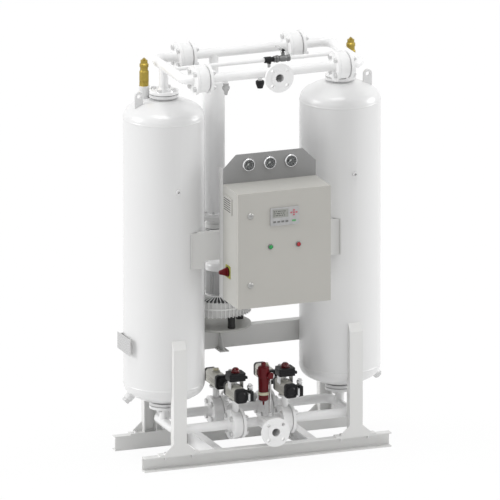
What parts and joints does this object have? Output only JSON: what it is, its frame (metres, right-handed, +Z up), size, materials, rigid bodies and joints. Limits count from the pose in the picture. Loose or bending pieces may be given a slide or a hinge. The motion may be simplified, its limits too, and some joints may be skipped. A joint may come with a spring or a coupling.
{
  "type": "desiccant air dryer",
  "caption": "Twin-tower heat-regenerated desiccant compressed-air dryer on a skid, with control cabinet, gauge panel, blower, heater and valve manifold.",
  "frame": {"origin": "floor level, midway between the four floor-anchor holes, in the plane of the two tower axes", "axes": "+X to the right seen from the control side, +Y to the rear, +Z up"},
  "size_m": [1.4046, 0.8269, 2.125],
  "materials": {
    "frame_paint": "satin",
    "vessel_paint": "gloss",
    "pipe_paint": "gloss",
    "cabinet_paint": "satin",
    "dark_paint": "satin",
    "actuator_paint": "satin",
    "motor_paint": "satin",
    "zinc": "zinc plated",
    "steel": "satin",
    "brass": "satin",
    "desiccant": "matt beads",
    "rubber": "matt",
    "black_plastic": "matt",
    "grey_plastic": "matt",
    "red_plastic": "gloss",
    "lamp_plastic": "gloss",
    "yellow_plastic": "satin",
    "chrome": "polished",
    "glass": "clear",
    "aluminium": "cast",
    "needle": "satin"
  },
  "bodies": {
    "frame": {"base_rails": "frame_paint", "cross_members": "frame_paint", "tower_legs": "frame_paint", "bolts_and_nuts": "zinc", "left_vessel": "vessel_paint", "right_vessel": "vessel_paint", "desiccant_beds": "desiccant", "bed_screens": "steel", "relief_valves": "brass", "drain_plugs": "steel", "data_plate": "steel", "top_left_spool": "pipe_paint", "top_right_spool": "pipe_paint", "top_front_header": "pipe_paint", "top_rear_header": "pipe_paint", "check_valves": "pipe_paint", "low_left_spool": "pipe_paint", "low_right_spool": "pipe_paint", "inlet_header": "pipe_paint", "exhaust_header": "pipe_paint", "valve_bodies": "pipe_paint", "actuator_bodies": "actuator_paint", "actuator_caps": "black_plastic", "pilot_valves": "black_plastic", "coil_connectors": "steel", "switch_brackets": "steel", "switch_boxes": "black_plastic", "indicator_domes": "red_plastic", "cabinet_body": "cabinet_paint", "control_gear": "grey_plastic", "switch_plate": "yellow_plastic", "gauge_panel": "dark_paint", "panel_frame": "cabinet_paint", "gauge_cases": "chrome", "gauge_glasses": "glass", "blower_support": "frame_paint", "blower_housing": "aluminium", "blower_motor": "motor_paint", "heater_shell": "vessel_paint", "heater_head": "steel", "purge_line": "pipe_paint", "pipe_sensors": "black_plastic", "pilot_filter": "red_plastic"},
    "door": {"cabinet_door": "cabinet_paint", "door_seal": "rubber", "operator_panel": "grey_plastic", "signal_lamps": "lamp_plastic"},
    "upper_latch": {"upper_latch": "black_plastic"},
    "lower_latch": {"lower_latch": "black_plastic"},
    "switch_handle": {"switch_handle": "red_plastic"},
    "purge_lever": {"purge_lever": "black_plastic"},
    "front_left_disc": {"front_left_disc": "steel"},
    "front_right_disc": {"front_right_disc": "steel"},
    "rear_left_disc": {"rear_left_disc": "steel"},
    "rear_right_disc": {"rear_right_disc": "steel"},
    "blower_rotor": {"blower_rotor": "aluminium"},
    "left_needle": {"left_needle": "needle"},
    "middle_needle": {"middle_needle": "needle"},
    "right_needle": {"right_needle": "needle"}
  },
  "joints": [
    {"name": "door_swing", "type": "hinge", "parent": "frame", "child": "door", "pos_m": [0.2545, -0.43725, 1.173], "axis": [0, 0, 1], "range_deg": [0, 120]},
    {"name": "upper_latch_turn", "type": "hinge", "parent": "door", "child": "upper_latch", "pos_m": [-0.183, -0.456, 1.354], "axis": [0, 1, 0], "range_deg": [0, 90]},
    {"name": "lower_latch_turn", "type": "hinge", "parent": "door", "child": "lower_latch", "pos_m": [-0.183, -0.456, 0.992], "axis": [0, 1, 0], "range_deg": [0, 90]},
    {"name": "switch_turn", "type": "hinge", "parent": "frame", "child": "switch_handle", "pos_m": [-0.2533, -0.318, 1.036], "axis": [1, 0, 0], "range_deg": [0, 90]},
    {"name": "purge_lever_turn", "type": "hinge", "parent": "frame", "child": "purge_lever", "pos_m": [0.138, -0.076, 2.05], "axis": [0, 0, 1], "range_deg": [0, 90]},
    {"name": "front_left_disc_turn", "type": "hinge", "parent": "frame", "child": "front_left_disc", "pos_m": [-0.149, -0.157, 0.185], "axis": [0, 0, 1], "range_deg": [0, 90]},
    {"name": "rear_left_disc_turn", "type": "hinge", "parent": "frame", "child": "rear_left_disc", "pos_m": [-0.149, 0.12, 0.185], "axis": [0, 0, 1], "range_deg": [0, 90]},
    {"name": "front_right_disc_turn", "type": "hinge", "parent": "frame", "child": "front_right_disc", "pos_m": [0.119, -0.157, 0.185], "axis": [0, 0, 1], "range_deg": [0, 90]},
    {"name": "rear_right_disc_turn", "type": "hinge", "parent": "frame", "child": "rear_right_disc", "pos_m": [0.119, 0.12, 0.185], "axis": [0, 0, 1], "range_deg": [0, 90]},
    {"name": "blower_spin", "type": "hinge", "parent": "frame", "child": "blower_rotor", "pos_m": [-0.112, 0.19, 0.73], "axis": [0, 0, 1], "continuous": true},
    {"name": "left_needle_turn", "type": "hinge", "parent": "frame", "child": "left_needle", "pos_m": [-0.114, -0.246, 1.563], "axis": [0, 1, 0], "range_deg": [0, 270]},
    {"name": "middle_needle_turn", "type": "hinge", "parent": "frame", "child": "middle_needle", "pos_m": [0, -0.246, 1.563], "axis": [0, 1, 0], "range_deg": [0, 270]},
    {"name": "right_needle_turn", "type": "hinge", "parent": "frame", "child": "right_needle", "pos_m": [0.114, -0.246, 1.563], "axis": [0, 1, 0], "range_deg": [0, 270]}
  ]
}
